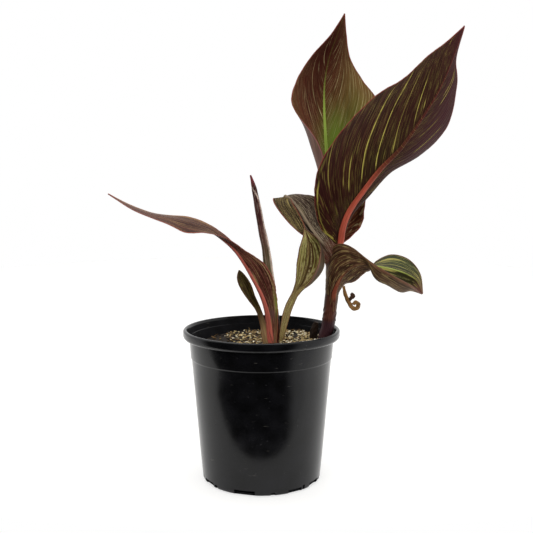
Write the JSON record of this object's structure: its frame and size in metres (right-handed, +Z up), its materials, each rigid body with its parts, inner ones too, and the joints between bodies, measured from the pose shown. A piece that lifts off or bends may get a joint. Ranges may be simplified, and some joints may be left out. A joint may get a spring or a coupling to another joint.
{
  "type": "potted canna lily plant",
  "caption": "Young canna lily with broad dark-leaved upright shoots, growing from potting mix in a plain round nursery pot.",
  "frame": {"origin": "middle of the pot's flat underside", "axes": "+Z up along the shoots; the plant's broad side faces -Y, with +X to the right seen from there"},
  "size_m": [0.354, 0.165, 0.4853],
  "materials": {
    "pot_plastic": "satin",
    "potting_mix": "matte",
    "stem": "satin",
    "bronze_leaf": "satin",
    "olive_leaf": "satin",
    "dry_husk": "matte"
  },
  "bodies": {
    "root": {"pot": "pot_plastic", "soil": "potting_mix", "stem_right": "stem", "stem_left": "stem", "old_stem_stub": "dry_husk", "withered_tip": "dry_husk", "leaf_upper_right": "bronze_leaf", "leaf_upper_left": "bronze_leaf", "leaf_left_arched": "bronze_leaf", "leaf_lower_right": "bronze_leaf", "leaf_long_left": "bronze_leaf", "leaf_rolled_spear": "bronze_leaf", "leaf_small_left": "olive_leaf", "leaf_right_upright": "olive_leaf"}
  },
  "joints": []
}
